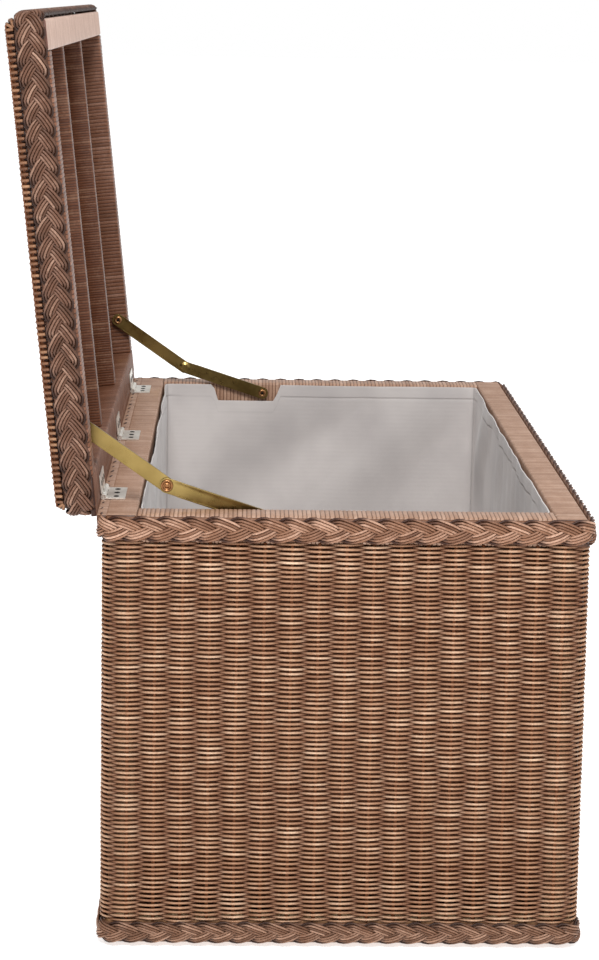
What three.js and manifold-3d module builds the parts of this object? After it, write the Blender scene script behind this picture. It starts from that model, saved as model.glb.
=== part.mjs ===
// A woven rattan storage trunk with a hinged lid, shown with the lid open against its stays.
// Units are millimetres. +Z is up, the trunk is long along X, and its front faces -Y.
// The left end is at -X, and the hinges run along the back, at +Y.
import * as THREE from 'three';
import { mergeVertices } from 'three/addons/utils/BufferGeometryUtils.js';
import Module from 'manifold-3d';

const wasm = await Module();
wasm.setup();

// ---------------------------------------------------------------- driving dimensions

const LENGTH = 800;                // along X, over the braids
const DEPTH = 500;                 // along Y, over the braids
const RIM_HEIGHT = 449;            // from the ground to the top of the rim rails
const LID_THICKNESS = 42;          // from the rails' free edge to the outside of the woven top
const LID_OPEN_ANGLE = 96;         // degrees, from shut to resting on the stays
const SEAT_GAP = 0.3;              // kept between pieces that rest on each other

const ROUND_SIDES = 16;            // flats that stand for a round piece

const CORNER_RADIUS = 12;          // upright corners of the frame of rails
const WALL_THICKNESS = 9;
const WALL_STANDOUT = 5;           // how far the weave stands out from the frame of rails
const FLOOR_THICKNESS = 6;
const RAIL_WIDTH = 31;             // rim, sill and lid rails, measured in from the outside
const RIM_RAIL_HEIGHT = 29;
const SILL_RAIL_HEIGHT = 23;
const FOOT_HEIGHT = 4;
const FOOT_RADIUS = 9;
const FOOT_INSET = 18;             // foot centre to the frame's outer faces

const BRAID_STANDOUT = 10;         // how far the rim and lid braids stand out from the frame
const BASE_BRAID_STANDOUT = 6;
const RIM_BRAID_HEIGHT = 27;
const RIM_BRAID_DROP = 1.5;        // from the rim to the top of its braid
const BASE_BRAID_HEIGHT = 23;
const LID_BRAID_HEIGHT = 26;
const LID_EDGE_STRIP = 5;          // bare rail between the lid's free edge and its braid

const LID_PANEL_THICKNESS = 10.5;
const LID_RIB_COUNT = 2;
const LID_RIB_WIDTH = 20;
const LID_RIB_RECESS = 7.5;        // ribs end this far inside the plane of the lid's free edge

const HINGE_COUNT = 3;
const HINGE_PITCH = 300;
const HINGE_AXIS_RISE = 2.5;       // axis above the rim
const HINGE_AXIS_INSET = 4;        // axis inside the outermost back face
const HINGE_LENGTH = 50;
const HINGE_LEAF_REACH = 22;       // from the axis to a leaf's free edge
const HINGE_LEAF_THICKNESS = 1.2;
const HINGE_KNUCKLE_COUNT = 5;
const HINGE_KNUCKLE_RADIUS = 2.9;
const HINGE_PIN_RADIUS = 1.4;
const HINGE_SCREW_COUNT = 3;
const HINGE_SCREW_PITCH = 16;
const HINGE_SCREW_HOLE_RADIUS = 1.9;

const STAY_ELBOW_DROP = 16;        // open elbow below the straight line between its pivots
const STAY_ARM_WIDTH = 15.5;
const STAY_PLATE = 1.2;
const STAY_FLANGE = 1.5;           // turned edge, beyond the plate
const STAY_FLANGE_CLEAR = 13;      // flat lug left round each hole
const STAY_PLATE_GAP = 0.6;        // between the two arms' plates
const STAY_LINER_GAP = 1.6;        // between the lower arm's flange and the liner
const STAY_LID_REACH = 83;         // lid pivot from the hinge axis, along the lid
const STAY_LID_DEPTH = 12;         // lid pivot from the plane of the lid's free edge
const STAY_RIM_REACH = 168;        // rim pivot from the hinge axis, towards the front
const STAY_RIM_DROP = 12;          // rim pivot below the rim
const STAY_HOLE_RADIUS = 2.6;
const STAY_SPACER_RADIUS = 6;
const STAY_SCREW_HEAD_RADIUS = 5;
const STAY_SCREW_HEAD_HEIGHT = 2;
const STAY_RIVET_RADIUS = 7.3;
const STAY_RIVET_HEIGHT = 2.4;

const LINER_THICKNESS = 1.5;
const LINER_GAP = 1.5;             // between the cloth and the rails
const LINER_TOP_DROP = 5;          // cloth's top edge below the rim
const LINER_CORNER_RADIUS = 10;
const LINER_NOTCH_DEPTH = 18;      // cut down from the cloth's top edge round each rim pivot
const LINER_NOTCH_FRONT = 20;      // notch from the rim pivot towards the front
const LINER_NOTCH_BACK = 62;       // notch from the rim pivot towards the back

// ---------------------------------------------------------------- worked-out places

const frameLength = LENGTH - 2 * BRAID_STANDOUT;
const frameDepth = DEPTH - 2 * BRAID_STANDOUT;
const wallInset = WALL_THICKNESS - WALL_STANDOUT;
const sillBottom = FOOT_HEIGHT + SEAT_GAP;
const sillTop = sillBottom + SILL_RAIL_HEIGHT;
const rimRailBottom = RIM_HEIGHT - RIM_RAIL_HEIGHT;
const wallBottom = sillTop + SEAT_GAP;
const wallTop = rimRailBottom - SEAT_GAP;
const floorTop = wallBottom + FLOOR_THICKNESS;
const railInnerX = frameLength / 2 - RAIL_WIDTH;
const railInnerY = frameDepth / 2 - RAIL_WIDTH;

const hingeY = DEPTH / 2 - HINGE_AXIS_INSET;
const hingeZ = RIM_HEIGHT + HINGE_AXIS_RISE;

// Lid heights are measured from the hinge axis with the lid shut.
const lidEdge = HINGE_AXIS_RISE;
const lidTop = lidEdge + LID_THICKNESS;
const lidPanelBottom = lidTop - LID_PANEL_THICKNESS;
const lidRailTop = lidPanelBottom - SEAT_GAP;
const lidCentreY = -hingeY;

const linerOuterX = railInnerX - LINER_GAP;
const linerOuterY = railInnerY - LINER_GAP;
const linerTop = RIM_HEIGHT - LINER_TOP_DROP;

// Distances of the stays' layers from the trunk's middle plane.
const lowerFlangeOuter = linerOuterX - LINER_THICKNESS - STAY_LINER_GAP;
const lowerPlateOuter = lowerFlangeOuter - STAY_FLANGE;
const upperPlateOuter = lowerPlateOuter - STAY_PLATE - STAY_PLATE_GAP;
const upperPlateInner = upperPlateOuter - STAY_PLATE;

// ---------------------------------------------------------------- materials

function material(color, roughness, metalness = 0) {
  return new THREE.MeshStandardMaterial({ color, roughness, metalness });
}

const weave = material('#a8806a', 0.75);
const braid = material('#a07860', 0.7);
const wrappedCane = material('#c39a86', 0.6);
const pole = material('#8a5f45', 0.7);
const cotton = material('#e2e0df', 0.95);
const plywood = material('#b08a66', 0.8);
const nickel = material('#c9ccd2', 0.3, 1);
const brassPlate = material('#c9a24a', 0.3, 1);
const darkSteel = material('#5a5048', 0.4, 1);
const greyPlastic = material('#77706c', 0.6);

const trunk = new THREE.Group();
const lid = new THREE.Group();

function addPart(parent, name, geometry, partMaterial) {
  const mesh = new THREE.Mesh(geometry, partMaterial);
  mesh.name = name;
  parent.add(mesh);
  return mesh;
}

// ---------------------------------------------------------------- shape helpers

function toSolid(geometry) {
  const bare = geometry.clone();
  bare.deleteAttribute('normal');
  bare.deleteAttribute('uv');
  const merged = mergeVertices(bare);
  return new wasm.Manifold(new wasm.Mesh({
    numProp: 3,
    vertProperties: merged.getAttribute('position').array,
    triVerts: Uint32Array.from(merged.getIndex().array),
  }));
}

function toGeometry(solid) {
  const mesh = solid.getMesh();
  const indexed = new THREE.BufferGeometry();
  indexed.setAttribute('position', new THREE.BufferAttribute(mesh.vertProperties, 3));
  indexed.setIndex(new THREE.BufferAttribute(mesh.triVerts, 1));
  const flat = indexed.toNonIndexed();
  flat.computeVertexNormals();
  return flat;
}

// A block between two opposite corners.
function block([x0, y0, z0], [x1, y1, z1]) {
  const box = new THREE.BoxGeometry(x1 - x0, y1 - y0, z1 - z0);
  return box.translate((x0 + x1) / 2, (y0 + y1) / 2, (z0 + z1) / 2);
}

// A cylinder along X between two X positions.
function rodAlongX(radius, x0, x1) {
  const rod = new THREE.CylinderGeometry(radius, radius, x1 - x0, ROUND_SIDES);
  return rod.rotateZ(-Math.PI / 2).translate((x0 + x1) / 2, 0, 0);
}

// A rectangle centred on the origin with rounded corners.
function roundedRectangle(length, depth, radius) {
  const x = length / 2;
  const y = depth / 2;
  const outline = new THREE.Shape();
  outline.moveTo(x - radius, -y);
  outline.absarc(x - radius, -y + radius, radius, -Math.PI / 2, 0);
  outline.absarc(x - radius, y - radius, radius, 0, Math.PI / 2);
  outline.absarc(-x + radius, y - radius, radius, Math.PI / 2, Math.PI);
  outline.absarc(-x + radius, -y + radius, radius, Math.PI, 1.5 * Math.PI);
  return outline;
}

function slab(outline, bottom, top) {
  const options = { depth: top - bottom, bevelEnabled: false, curveSegments: 6 };
  return new THREE.ExtrudeGeometry(outline, options).translate(0, 0, bottom);
}

// The frame's outline seen from above, moved outwards by a standout.
function frameOutline(standout) {
  return roundedRectangle(
    frameLength + 2 * standout, frameDepth + 2 * standout, CORNER_RADIUS + standout);
}

// Front, back, left and right pieces of a ring that follows the frame's outline. The long pieces
// hold the rounded corners, and the end pieces fit between them.
function ringSides(standout, inset, bottom, top) {
  const ring = toSolid(slab(frameOutline(standout), bottom, top));
  const far = LENGTH;
  const innerX = frameLength / 2 - inset;
  const innerY = frameDepth / 2 - inset;
  const endY = innerY - SEAT_GAP;
  const cut = (low, high) => toGeometry(ring.intersect(toSolid(block(low, high))));
  return {
    front: cut([-far, -far, bottom - 1], [far, -innerY, top + 1]),
    back: cut([-far, innerY, bottom - 1], [far, far, top + 1]),
    left: cut([-far, -endY, bottom - 1], [-innerX, endY, top + 1]),
    right: cut([innerX, -endY, bottom - 1], [far, endY, top + 1]),
  };
}

// A braid's ring round the frame. Its section is flat where it lies on the rails and an elliptical
// bulge outside, and each point of the section draws one offset copy of the frame's outline.
function braidRing(standout, bottom, height) {
  const sectionSteps = 8;
  const section = [];
  for (let step = 0; step <= sectionSteps; step += 1) {
    const angle = Math.PI * (step / sectionSteps - 0.5);
    const out = SEAT_GAP + (standout - SEAT_GAP) * Math.cos(angle);
    section.push([out, bottom + height * (0.5 + 0.5 * Math.sin(angle))]);
  }
  const loops = section.map(([out, z]) => {
    const points = frameOutline(out).getPoints(4);
    const closesTwice = points[0].distanceTo(points[points.length - 1]) < 1e-6;
    return (closesTwice ? points.slice(0, -1) : points).map(({ x, y }) => [x, y, z]);
  });
  const perLoop = loops[0].length;
  const indices = [];
  for (let i = 0; i < loops.length; i += 1) {
    const next = (i + 1) % loops.length;
    for (let j = 0; j < perLoop; j += 1) {
      const k = (j + 1) % perLoop;
      const a = i * perLoop + j;
      const b = i * perLoop + k;
      const c = next * perLoop + k;
      const d = next * perLoop + j;
      indices.push(a, b, c, a, c, d);
    }
  }
  const ring = new THREE.BufferGeometry();
  ring.setAttribute('position', new THREE.Float32BufferAttribute(loops.flat(2), 3));
  ring.setIndex(indices);
  const flat = ring.toNonIndexed();
  flat.computeVertexNormals();
  return flat;
}

// ---------------------------------------------------------------- body

function addSides(parent, prefix, sides, partMaterial, offsetY = 0) {
  for (const side of ['front', 'back', 'left', 'right']) {
    const piece = addPart(parent, `${prefix}_${side}`, sides[side], partMaterial);
    piece.position.y = offsetY;
  }
}

function addCornerPosts() {
  const outerX = frameLength / 2 - wallInset - SEAT_GAP;
  const outerY = frameDepth / 2 - wallInset - SEAT_GAP;
  const size = RAIL_WIDTH - wallInset - 2 * SEAT_GAP;
  const bottom = floorTop + SEAT_GAP;
  for (const [xName, signX] of [['left', -1], ['right', 1]]) {
    for (const [yName, signY] of [['front', -1], ['back', 1]]) {
      const post = addPart(trunk, `corner_post_${yName}_${xName}`,
        block([-size / 2, -size / 2, bottom], [size / 2, size / 2, wallTop]), pole);
      post.position.set(signX * (outerX - size / 2), signY * (outerY - size / 2), 0);
    }
  }
}

function addFloorPanel() {
  const clearance = 2 * (wallInset + SEAT_GAP);
  addPart(trunk, 'floor_panel', block(
    [-(frameLength - clearance) / 2, -(frameDepth - clearance) / 2, wallBottom],
    [(frameLength - clearance) / 2, (frameDepth - clearance) / 2, floorTop]), plywood);
}

function addFeet() {
  for (const [xName, signX] of [['left', -1], ['right', 1]]) {
    for (const [yName, signY] of [['front', -1], ['back', 1]]) {
      const profile = [
        new THREE.Vector2(0, 0),
        new THREE.Vector2(FOOT_RADIUS * 0.85, 0),
        new THREE.Vector2(FOOT_RADIUS, FOOT_HEIGHT * 0.3),
        new THREE.Vector2(FOOT_RADIUS, FOOT_HEIGHT),
        new THREE.Vector2(0, FOOT_HEIGHT),
      ];
      const glide = new THREE.LatheGeometry(profile, ROUND_SIDES).rotateX(Math.PI / 2);
      const foot = addPart(trunk, `foot_${yName}_${xName}`, glide, greyPlastic);
      foot.position.x = signX * (frameLength / 2 - FOOT_INSET);
      foot.position.y = signY * (frameDepth / 2 - FOOT_INSET);
    }
  }
}

// The cotton bag: thin walls and a thin floor, open at the top, with a notch in each end wall
// round the stay's pivot on the rim.
function addLiner(rimPivotY) {
  const bottom = floorTop + SEAT_GAP;
  const outer = toSolid(slab(roundedRectangle(
    2 * linerOuterX, 2 * linerOuterY, LINER_CORNER_RADIUS), bottom, linerTop));
  const inner = toSolid(slab(roundedRectangle(
    2 * (linerOuterX - LINER_THICKNESS), 2 * (linerOuterY - LINER_THICKNESS),
    LINER_CORNER_RADIUS - LINER_THICKNESS), bottom + LINER_THICKNESS, linerTop + 1));
  let bag = outer.subtract(inner);
  const notch = block(
    [-LENGTH, rimPivotY - LINER_NOTCH_FRONT, linerTop - LINER_NOTCH_DEPTH],
    [LENGTH, rimPivotY + LINER_NOTCH_BACK, linerTop + 1]);
  bag = bag.subtract(toSolid(notch));
  addPart(trunk, 'liner', toGeometry(bag), cotton);
}

// ---------------------------------------------------------------- lid

// Everything here is placed from the hinge axis with the lid shut: y runs towards the back.
function addLid() {
  const rails = ringSides(0, RAIL_WIDTH, lidEdge, lidRailTop);
  addSides(lid, 'lid_rail', rails, wrappedCane, lidCentreY);
  const ribLength = 2 * (railInnerY - SEAT_GAP);
  for (let rib = 1; rib <= LID_RIB_COUNT; rib += 1) {
    const x = frameLength * (rib / (LID_RIB_COUNT + 1) - 0.5);
    const bar = block([-LID_RIB_WIDTH / 2, -ribLength / 2, lidEdge + LID_RIB_RECESS],
      [LID_RIB_WIDTH / 2, ribLength / 2, lidRailTop]);
    addPart(lid, `lid_rib_${rib}`, bar, wrappedCane).position.set(x, lidCentreY, 0);
  }
  const panel = slab(frameOutline(WALL_STANDOUT), lidPanelBottom, lidTop);
  addPart(lid, 'lid_panel', panel, weave).position.y = lidCentreY;
  const ring = braidRing(BRAID_STANDOUT, lidEdge + LID_EDGE_STRIP, LID_BRAID_HEIGHT);
  addPart(lid, 'lid_braid', ring, braid).position.y = lidCentreY;
}

// ---------------------------------------------------------------- hinges

// One leaf with its knuckles, lying below the axis and reaching towards the front. Knuckles
// `first`, `first` + 2, ... belong to this leaf.
function hingeLeaf(first) {
  const seat = -HINGE_AXIS_RISE + SEAT_GAP;
  const knuckleLength = HINGE_LENGTH / HINGE_KNUCKLE_COUNT;
  const plateEdge = -(HINGE_KNUCKLE_RADIUS + SEAT_GAP);
  let leaf = toSolid(block(
    [-HINGE_LENGTH / 2, -HINGE_LEAF_REACH, seat],
    [HINGE_LENGTH / 2, plateEdge, seat + HINGE_LEAF_THICKNESS]));
  for (let knuckle = first; knuckle < HINGE_KNUCKLE_COUNT; knuckle += 2) {
    const x0 = -HINGE_LENGTH / 2 + knuckle * knuckleLength + SEAT_GAP / 2;
    const x1 = x0 + knuckleLength - SEAT_GAP;
    const tab = block([x0, plateEdge - 1, seat], [x1, 0, seat + HINGE_LEAF_THICKNESS]);
    leaf = leaf.add(toSolid(tab)).add(toSolid(rodAlongX(HINGE_KNUCKLE_RADIUS, x0, x1)));
  }
  const bore = rodAlongX(HINGE_PIN_RADIUS + SEAT_GAP, -HINGE_LENGTH, HINGE_LENGTH);
  leaf = leaf.subtract(toSolid(bore));
  const holeY = (plateEdge - HINGE_LEAF_REACH) / 2;
  for (let screw = 0; screw < HINGE_SCREW_COUNT; screw += 1) {
    const x = (screw - (HINGE_SCREW_COUNT - 1) / 2) * HINGE_SCREW_PITCH;
    const hole = new THREE.CylinderGeometry(
      HINGE_SCREW_HOLE_RADIUS, HINGE_SCREW_HOLE_RADIUS, 4 * HINGE_LEAF_THICKNESS, ROUND_SIDES / 2);
    hole.rotateX(Math.PI / 2).translate(x, holeY, seat);
    leaf = leaf.subtract(toSolid(hole));
  }
  return leaf;
}

function addHinges() {
  for (let hinge = 1; hinge <= HINGE_COUNT; hinge += 1) {
    const x = (hinge - (HINGE_COUNT + 1) / 2) * HINGE_PITCH;
    addPart(trunk, `hinge_${hinge}_chest_leaf`, toGeometry(hingeLeaf(0)), nickel)
      .position.set(x, hingeY, hingeZ);
    const lidLeaf = toGeometry(hingeLeaf(1).scale([1, 1, -1]));
    addPart(lid, `hinge_${hinge}_lid_leaf`, lidLeaf, nickel).position.x = x;
    addPart(trunk, `hinge_${hinge}_pin`,
      rodAlongX(HINGE_PIN_RADIUS, -HINGE_LENGTH / 2, HINGE_LENGTH / 2), nickel)
      .position.set(x, hingeY, hingeZ);
  }
}

// ---------------------------------------------------------------- stays

// The stay's pivots in the upright plane across the hinge axis: `front` is the distance from
// the axis towards the front and `up` the height above it, with the lid open.
function stayPivots() {
  const open = THREE.MathUtils.degToRad(LID_OPEN_ANGLE);
  const along = STAY_LID_REACH;
  const deep = lidEdge + STAY_LID_DEPTH;
  const lidPivot = new THREE.Vector2(
    along * Math.cos(open) - deep * Math.sin(open),
    along * Math.sin(open) + deep * Math.cos(open));
  const rimPivot = new THREE.Vector2(STAY_RIM_REACH, -HINGE_AXIS_RISE - STAY_RIM_DROP);
  const middle = lidPivot.clone().add(rimPivot).multiplyScalar(0.5);
  const span = rimPivot.clone().sub(lidPivot);
  const down = new THREE.Vector2(span.y, -span.x).normalize();
  const elbow = middle.add(down.multiplyScalar(STAY_ELBOW_DROP));
  return { lidPivot, rimPivot, elbow, armLength: elbow.distanceTo(rimPivot) };
}

// One arm along -Y from its fixed pivot at the origin to the elbow, its plate's outer face at
// x = 0 and its inner face at x = -STAY_PLATE. `length` is from hole to hole. flangeSide is 1 for edges turned outwards.
function stayArm(length, flangeSide) {
  const half = STAY_ARM_WIDTH / 2;
  const outline = new THREE.Shape();
  outline.moveTo(-half, 0);
  outline.absarc(0, 0, half, Math.PI, 0, true);
  outline.lineTo(half, -length);
  outline.absarc(0, -length, half, 0, -Math.PI, true);
  for (const y of [0, -length]) {
    const hole = new THREE.Path();
    hole.absarc(0, y, STAY_HOLE_RADIUS, 0, 2 * Math.PI);
    outline.holes.push(hole);
  }
  const options = { depth: STAY_PLATE, bevelEnabled: false, curveSegments: ROUND_SIDES / 2 };
  let arm = toSolid(new THREE.ExtrudeGeometry(outline, options).rotateY(-Math.PI / 2));
  const outer = flangeSide > 0 ? STAY_FLANGE : 0;
  const inner = flangeSide > 0 ? -STAY_PLATE : -STAY_PLATE - STAY_FLANGE;
  for (const side of [-1, 1]) {
    const edge = side * (half - STAY_PLATE / 2);
    const flange = block(
      [inner, -length + STAY_FLANGE_CLEAR, edge - STAY_PLATE / 2],
      [outer, -STAY_FLANGE_CLEAR, edge + STAY_PLATE / 2]);
    arm = arm.add(toSolid(flange));
  }
  return arm;
}

// A domed head with its shank, along -X from the shank's end at x = 0.
function headedPin(shankLength, headRadius, headHeight) {
  const shankRadius = STAY_HOLE_RADIUS - SEAT_GAP;
  const profile = [
    new THREE.Vector2(0, 0),
    new THREE.Vector2(shankRadius, 0),
    new THREE.Vector2(shankRadius, shankLength),
    new THREE.Vector2(headRadius, shankLength),
    new THREE.Vector2(headRadius, shankLength + headHeight * 0.4),
    new THREE.Vector2(headRadius * 0.6, shankLength + headHeight),
    new THREE.Vector2(0, shankLength + headHeight),
  ];
  return toSolid(new THREE.LatheGeometry(profile, ROUND_SIDES).rotateZ(Math.PI / 2));
}

function spacer(length) {
  const tube = toSolid(rodAlongX(STAY_SPACER_RADIUS, -length, 0));
  return tube.subtract(toSolid(rodAlongX(STAY_HOLE_RADIUS, -length - 1, 1)));
}

// Places a solid made for the right end on either end, by its distance from the middle plane.
function placeOnEnd(parent, name, solid, partMaterial, signX, x, y, z, turn = 0) {
  const sided = signX > 0 ? solid : solid.scale([-1, 1, 1]);
  const piece = addPart(parent, name, toGeometry(sided), partMaterial);
  piece.position.set(signX * x, y, z);
  piece.rotation.x = turn;
  return piece;
}

function addStay(name, signX, { lidPivot, rimPivot, elbow, armLength }) {
  const railFace = railInnerX - SEAT_GAP;
  const upperTurn = -Math.atan2(elbow.y - lidPivot.y, elbow.x - lidPivot.x);
  const lowerTurn = -Math.atan2(elbow.y - rimPivot.y, elbow.x - rimPivot.x);
  const lidY = hingeY - lidPivot.x;
  const lidZ = hingeZ + lidPivot.y;
  const rimY = hingeY - rimPivot.x;
  const rimZ = hingeZ + rimPivot.y;
  const elbowY = hingeY - elbow.x;
  const elbowZ = hingeZ + elbow.y;

  placeOnEnd(trunk, `stay_${name}_upper_arm`, stayArm(armLength, -1), brassPlate,
    signX, upperPlateOuter, lidY, lidZ, upperTurn);
  placeOnEnd(trunk, `stay_${name}_lower_arm`, stayArm(armLength, 1), brassPlate,
    signX, lowerPlateOuter, rimY, rimZ, lowerTurn);

  const rivet = headedPin(STAY_PLATE + SEAT_GAP, STAY_RIVET_RADIUS, STAY_RIVET_HEIGHT);
  placeOnEnd(trunk, `stay_${name}_elbow_rivet`, rivet, brassPlate,
    signX, upperPlateOuter, elbowY, elbowZ, upperTurn);

  const lidShank = railFace - upperPlateInner + SEAT_GAP;
  const lidScrew = headedPin(lidShank, STAY_SCREW_HEAD_RADIUS, STAY_SCREW_HEAD_HEIGHT);
  const lidSpacer = spacer(railFace - upperPlateOuter - SEAT_GAP);
  placeOnEnd(lid, `stay_${name}_lid_screw`, lidScrew, darkSteel,
    signX, railFace, -STAY_LID_REACH, lidEdge + STAY_LID_DEPTH);
  placeOnEnd(lid, `stay_${name}_lid_spacer`, lidSpacer, brassPlate,
    signX, railFace, -STAY_LID_REACH, lidEdge + STAY_LID_DEPTH);

  const rimShank = railFace - (lowerPlateOuter - STAY_PLATE) + SEAT_GAP;
  const rimScrew = headedPin(rimShank, STAY_SCREW_HEAD_RADIUS, STAY_SCREW_HEAD_HEIGHT);
  const rimSpacer = spacer(railFace - lowerPlateOuter - SEAT_GAP);
  placeOnEnd(trunk, `stay_${name}_rim_screw`, rimScrew, darkSteel,
    signX, railFace, rimY, rimZ);
  placeOnEnd(trunk, `stay_${name}_rim_spacer`, rimSpacer, brassPlate,
    signX, railFace, rimY, rimZ);
}

// ---------------------------------------------------------------- assembly

const pivots = stayPivots();

addSides(trunk, 'sill_rail', ringSides(0, RAIL_WIDTH, sillBottom, sillTop), pole);
addSides(trunk, 'woven_wall', ringSides(WALL_STANDOUT, wallInset, wallBottom, wallTop), weave);
addSides(trunk, 'rim_rail', ringSides(0, RAIL_WIDTH, rimRailBottom, RIM_HEIGHT), wrappedCane);
addCornerPosts();
addFloorPanel();
addFeet();
addLiner(hingeY - pivots.rimPivot.x);
addPart(trunk, 'base_braid',
  braidRing(BASE_BRAID_STANDOUT, wallBottom - SEAT_GAP - BASE_BRAID_HEIGHT, BASE_BRAID_HEIGHT), braid);
addPart(trunk, 'rim_braid',
  braidRing(BRAID_STANDOUT, RIM_HEIGHT - RIM_BRAID_DROP - RIM_BRAID_HEIGHT, RIM_BRAID_HEIGHT), braid);

addLid();
addHinges();
addStay('left', -1, pivots);
addStay('right', 1, pivots);

lid.position.set(0, hingeY, hingeZ);
lid.rotation.x = -THREE.MathUtils.degToRad(LID_OPEN_ANGLE);
trunk.add(lid);

// The origin is on the ground, under the middle of the open trunk's outer box.
trunk.updateMatrixWorld(true);
const extent = new THREE.Box3().setFromObject(trunk, true);
trunk.position.y = -(extent.min.y + extent.max.y) / 2;

export default trunk;
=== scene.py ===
"""The looks of a woven rattan storage trunk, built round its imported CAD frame.

Every piece is worked out with numpy from the frame's own boxes and joints, in metres, in the
row frame: +Z up, X along the trunk, the front faces -Y and the hinges are along the back.
"""

from math import cos, pi, radians, sin

import bmesh
import bpy
import numpy as np
from mathutils import Matrix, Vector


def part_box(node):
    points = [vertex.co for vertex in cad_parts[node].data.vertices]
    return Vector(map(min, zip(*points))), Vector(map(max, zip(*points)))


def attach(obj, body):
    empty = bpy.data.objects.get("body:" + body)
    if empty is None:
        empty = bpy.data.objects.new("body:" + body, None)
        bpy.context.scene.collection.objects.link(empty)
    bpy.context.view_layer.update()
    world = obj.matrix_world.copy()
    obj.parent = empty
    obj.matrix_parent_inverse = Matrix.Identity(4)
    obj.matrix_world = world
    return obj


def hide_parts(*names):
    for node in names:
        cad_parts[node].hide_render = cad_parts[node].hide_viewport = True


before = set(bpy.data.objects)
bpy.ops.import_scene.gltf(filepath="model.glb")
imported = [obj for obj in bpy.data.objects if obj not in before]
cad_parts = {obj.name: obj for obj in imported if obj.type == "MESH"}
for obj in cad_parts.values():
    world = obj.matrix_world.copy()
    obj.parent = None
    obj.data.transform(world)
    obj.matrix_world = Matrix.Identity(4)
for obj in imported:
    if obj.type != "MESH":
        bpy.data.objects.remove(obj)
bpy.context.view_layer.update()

MM = 0.001
BAKE_MAP = "OFBake"
UP = np.array([0.0, 0.0, 1.0])

# -------- places taken from the frame

LID_BODY = "lid"
CHEST_BODY = "chest"


def corners(node):
    """The lowest and highest corner of a CAD node at rest, as arrays."""
    low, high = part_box(node)
    return np.array(low), np.array(high)


PIN_LOW, PIN_HIGH = corners("hinge_1_pin")
AXIS_Y, AXIS_Z = (PIN_LOW[1:] + PIN_HIGH[1:]) / 2
OPEN = radians(96.0)  # how far the lid stands open at rest, from shut


def lid_corners(node):
    """A lid node's corners with the lid shut, measured from the hinge axis: its points at rest
    turned back about the axis by the opening angle."""
    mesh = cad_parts[node].data
    points = np.zeros(len(mesh.vertices) * 3)
    mesh.vertices.foreach_get("co", points)
    x, y, z = points.reshape(-1, 3).T
    y, z = y - AXIS_Y, z - AXIS_Z
    shut = np.stack([x, y * cos(OPEN) - z * sin(OPEN), y * sin(OPEN) + z * cos(OPEN)], 1)
    return shut.min(0), shut.max(0)


def raise_lid(points):
    """Points given from the hinge axis with the lid shut, turned to the open lid's place."""
    x, y, z = np.moveaxis(np.asarray(points, float), -1, 0)
    return np.stack([x, AXIS_Y + y * cos(OPEN) + z * sin(OPEN),
                     AXIS_Z - y * sin(OPEN) + z * cos(OPEN)], -1)


def turn_only(turn, directions):
    """Directions carried by a move's turn, and not by its shift."""
    return turn(directions) - turn(np.zeros(3))


RIM_LOW, RIM_HIGH = corners("rim_braid")
CENTRE_Y = (RIM_LOW[1] + RIM_HIGH[1]) / 2
BODY_MIDDLE = np.array([0.0, CENTRE_Y, 0.0])
WALL_LOW, WALL_HIGH = corners("woven_wall_front")
WALL_X = WALL_HIGH[0]
WALL_Y = CENTRE_Y - WALL_LOW[1]

# -------- materials


def srgb(code):
    """A hex colour turned from sRGB to the linear values that the shader reads."""
    parts = [int(code[i:i + 2], 16) / 255 for i in (1, 3, 5)]
    return tuple(p / 12.92 if p <= 0.04045 else ((p + 0.055) / 1.055) ** 2.4
                 for p in parts) + (1.0,)


def add(tree, kind, settings=None, **links):
    """One node. settings sets its properties, a socket's value by the socket's name or number,
    or a colour ramp's stops, each a place and a hex colour; links joins a socket, named with _
    for a space or i and its number, to an output."""
    node = tree.nodes.new(kind)
    for key, value in (settings or {}).items():
        if key == "stops":
            elements = node.color_ramp.elements
            for place, code in value[1:-1]:
                elements.new(place).color = srgb(code)
            for element, (place, code) in ((elements[0], value[0]), (elements[-1], value[-1])):
                element.position, element.color = place, srgb(code)
        elif isinstance(key, int) or key in node.inputs:
            node.inputs[key].default_value = value
        else:
            setattr(node, key, value)
    for key, source in links.items():
        numbered = key[0] == "i" and key[1:].isdigit()
        socket = node.inputs[int(key[1:]) if numbered else key.replace("_", " ")]
        tree.links.new(source, socket)
    return node


def new_material(name, **values):
    """A material with one Principled shader, whose even values are set on its own sockets."""
    material = bpy.data.materials.new(name)
    material.use_nodes = True
    tree = material.node_tree
    shader = tree.nodes["Principled BSDF"]
    for key, value in values.items():
        shader.inputs[key.replace("_", " ")].default_value = value
    place = add(tree, "ShaderNodeTexCoord").outputs["Object"]
    return material, tree, shader, place


def per_metre(size_mm):
    """The noise scale whose blotches are about size_mm across."""
    return 1000.0 / size_mm


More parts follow.
